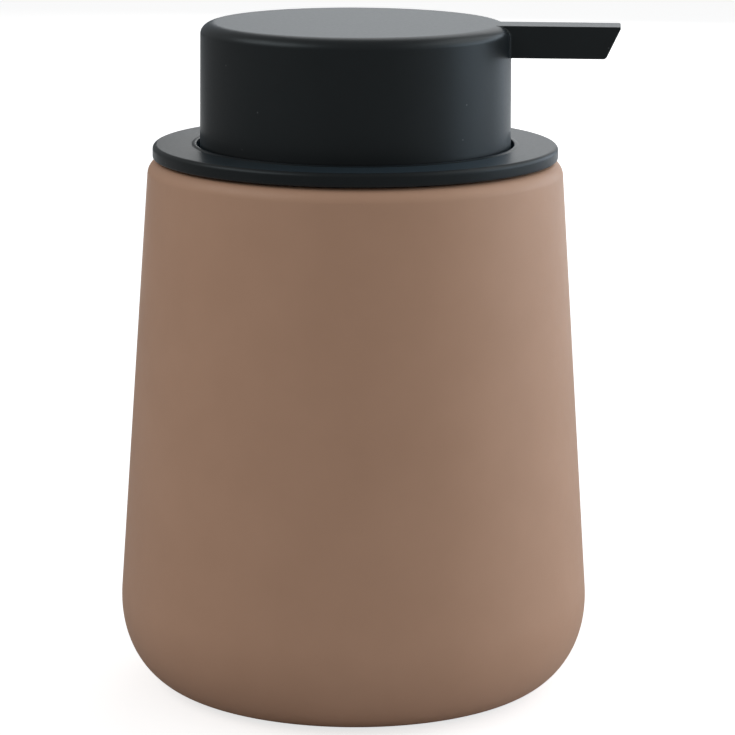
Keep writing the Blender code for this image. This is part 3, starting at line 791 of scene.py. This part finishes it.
# Stem and outlet valve. A hollow rod from the piston to the head, with a shoulder sunk in the piston.
# Its lower end holds the outlet ball over a pressed-in seat, whose flange also takes the spring.
stem_bore = 1.7 * MM
throat_radius = 1.2 * MM
valve_bore = 2.3 * MM
shoulder_radius = stem_high.x
shoulder_top = piston_high.z
shoulder_low = shoulder_top - shoulder_height
outlet_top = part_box("outlet_ball")[1].z
throat = outlet_top + 1.5 * MM
throat_end = throat + 4.0 * MM
rod = turn([
    (stem_radius, stem_high.z),
    (stem_bore, stem_high.z),
    (stem_bore, throat_end),
    (throat_radius, throat_end),
    (throat_radius, throat),
    (valve_bore, throat),
    (valve_bore, stem_low.z),
    (stem_radius, stem_low.z),
    (stem_radius, shoulder_low),
    (shoulder_radius, shoulder_low),
    (shoulder_radius, shoulder_top),
    (stem_radius, shoulder_top),
], 72)
for radius, height, width in [(stem_radius, stem_high.z, 0.4), (stem_radius, stem_low.z, 0.2),
                              (shoulder_radius, shoulder_top, 0.3)]:
    round_ring(rod, radius, height, width * MM, 4)
add_piece("stem_rod", rod, cylinder_plastic, "head", ["stem"])
seat_low, seat_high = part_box("valve_seat")
seat_flange = seat_low.z + 2.0 * MM
spigot_radius = 2.0 * MM
seat_mouth = 1.7 * MM
seat_hole = 0.9 * MM
seat = turn([
    (seat_high.x, seat_low.z),
    (seat_high.x, seat_flange),
    (spigot_radius, seat_flange),
    (spigot_radius, seat_high.z),
    (seat_mouth, seat_high.z),
    (seat_hole, seat_high.z - seat_mouth + seat_hole),
    (seat_hole, seat_low.z),
], 72)
round_ring(seat, seat_high.x, seat_low.z, 0.35 * MM, 4)
round_ring(seat, seat_high.x, seat_flange, 0.25 * MM, 4)
add_piece("outlet_valve_seat", seat, white_moulding, "head", ["valve_seat"])
steel_ball("outlet_valve_ball", "outlet_ball", "outlet_ball")

# Stem socket. A white sleeve pressed into the head's boss; the stem's top is pressed into it.
# Soap rises through the hole in its roof into the nozzle's channel.
socket_low, socket_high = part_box("stem_socket")
sleeve_radius = 5.5 * MM
stem_grip = stem_radius + touch_gap
socket_flange = socket_low.z + 1.2 * MM
socket_roof = socket_high.z - 1.2 * MM
sleeve = turn([
    (socket_high.x, socket_low.z),
    (socket_high.x, socket_flange),
    (sleeve_radius, socket_flange),
    (sleeve_radius, socket_high.z),
    (stem_bore, socket_high.z),
    (stem_bore, socket_roof),
    (stem_grip, socket_roof),
    (stem_grip, socket_low.z),
], 96)
for radius, height, width in [(socket_high.x, socket_low.z, 0.35), (socket_high.x, socket_flange, 0.25),
                              (sleeve_radius, socket_high.z, 0.4), (stem_grip, socket_low.z, 0.35)]:
    round_ring(sleeve, radius, height, width * MM, 4)
add_piece("stem_socket_sleeve", sleeve, white_moulding, "head", ["stem_socket"])

# Head. The wide press-down cap with the nozzle moulded on, hollow below, with a boss for the stem.
# The nozzle's top runs on level from the cap's top, and its tip is cut back underneath.
head_low, head_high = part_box("head_cap")
head_top = head_high.z
skirt_radius = -head_low.x
draft = math.radians(0.4)
head_radius = skirt_radius - (head_top - head_low.z) * math.tan(draft)
head_wall = 1.8 * MM
roof = head_top - 2.0 * MM
boss_radius = 7.5 * MM
boss_bottom = socket_flange + touch_gap
socket_radius = sleeve_radius + touch_gap
socket_end = socket_high.z + touch_gap
chamber_radius = 2.5 * MM
channel_height = head_top - 3.7 * MM
channel_radius = 1.3 * MM
channel_roof = channel_height + channel_radius + 0.15 * MM
crown = Vector((head_radius, head_top))
crown_side = Vector((head_radius, head_top - 2.0 * MM))
crown_flat = Vector((head_radius - 2.8 * MM, head_top))
crown_curve = interpolate_bezier(crown_side, crown_side.lerp(crown, 0.55), crown_flat.lerp(crown, 0.55),
                                 crown_flat, 14)
cap = turn([
    (0.0, head_top),
    (0.0, channel_roof),
    (chamber_radius, channel_roof),
    (chamber_radius, socket_end),
    (socket_radius, socket_end),
    (socket_radius, boss_bottom),
    (boss_radius, boss_bottom),
    (boss_radius, roof),
    (head_radius - head_wall, roof),
    (skirt_radius - head_wall, head_low.z),
    (skirt_radius, head_low.z),
    *crown_curve,
], 192)
round_ring(cap, skirt_radius, head_low.z, 0.4 * MM, 4)
round_ring(cap, head_radius - head_wall, roof, 1.0 * MM, 5)

nozzle_reach = head_high.x
nozzle_width = 7.5 * MM
nozzle_bottom = head_top - 5.7 * MM
nozzle_slant = 2.7 * MM
nozzle_root = head_radius - 2.6 * MM
arm = bmesh.new()
corners = [(nozzle_root, head_top), (nozzle_reach, head_top),
           (nozzle_reach - nozzle_slant, nozzle_bottom), (nozzle_root, nozzle_bottom)]
near_side = arm.faces.new([arm.verts.new((x, -nozzle_width / 2, z)) for x, z in corners])
grown = bmesh.ops.extrude_face_region(arm, geom=[near_side])
bmesh.ops.translate(arm, vec=(0.0, nozzle_width, 0.0),
                    verts=[item for item in grown["geom"] if isinstance(item, bmesh.types.BMVert)])
bmesh.ops.recalc_face_normals(arm, faces=arm.faces)
tip_edges = [edge for edge in arm.edges if min(end.co.x for end in edge.verts) > nozzle_root + 1 * MM
             and abs(edge.verts[0].co.y - edge.verts[1].co.y) > 1 * MM]
bmesh.ops.bevel(arm, geom=tip_edges, offset=0.45 * MM, affect="EDGES", segments=4, profile=0.5,
                material=-1)
flanks = [face for face in arm.faces if abs(face.normal.y) > 0.9]
free_edges = [edge for face in flanks for edge in face.edges
              if max(end.co.x for end in edge.verts) > nozzle_root + 1 * MM]
bmesh.ops.bevel(arm, geom=free_edges, offset=0.2 * MM, affect="EDGES", segments=3, profile=0.5,
                material=-1)
flare_size = 0.7 * MM
flare_sink = 0.05 * MM
flare_steps = 8
flare_levels = [Vector((crown_side.x, nozzle_bottom + 0.02 * MM))] + crown_curve[:-2]
flare = bmesh.new()
for side in (-1, 1):
    loops = []
    for level in flare_levels:
        away = nozzle_width / 2 + flare_size
        centre = Vector((math.sqrt((level.x + flare_size) ** 2 - away ** 2), away))
        swing = math.radians(90) - math.atan2(away, centre.x)
        arc = [centre - Matrix.Rotation(-swing * step / flare_steps, 2) @ Vector((0.0, flare_size))
               for step in range(flare_steps + 1)]
        arc[0].y -= flare_sink
        arc[-1] -= centre.normalized() * flare_sink
        arc.append(Vector((level.x - 1.0 * MM, nozzle_width / 2 - 0.3 * MM)))
        ring = [flare.verts.new((spot.x, spot.y * side, level.y)) for spot in arc]
        loops.append([flare.edges.new(pair) for pair in zip(ring, ring[1:] + ring[:1])])
        if level in (flare_levels[0], flare_levels[-1]):
            flare.faces.new(ring)
    for lower, upper in zip(loops, loops[1:]):
        bmesh.ops.bridge_loops(flare, edges=lower + upper)
bmesh.ops.recalc_face_normals(flare, faces=flare.faces)
rib_half_width = 2.7 * MM
rib_low = Vector((boss_radius - 0.8 * MM, -rib_half_width, channel_height - rib_half_width))
rib_high = Vector((head_radius - head_wall / 2, rib_half_width, roof + 1.0 * MM))
rib = bmesh.new()
bmesh.ops.create_cube(rib, size=1.0)
bmesh.ops.transform(rib, verts=rib.verts, matrix=Matrix.Translation((rib_low + rib_high) / 2)
                    @ Matrix.Diagonal((*(rib_high - rib_low), 1.0)))
channel_length = 60 * MM
channel = bmesh.new()
bmesh.ops.create_cone(channel, cap_ends=True, segments=48, radius1=channel_radius, radius2=channel_radius,
                      depth=channel_length,
                      matrix=Matrix.Translation((channel_length / 2, 0, channel_height))
                      @ Matrix.Rotation(math.radians(90), 4, "Y"))
cap = apply_tools(cap, [("UNION", tool("arm", arm)), ("UNION", tool("flare", flare)),
                        ("UNION", tool("rib", rib)), ("DIFFERENCE", tool("channel", channel))])
head_plastic = black_moulding("satin_black_head", 0.52)
add_piece("head_moulding", cap, head_plastic, "head", ["head_cap"])
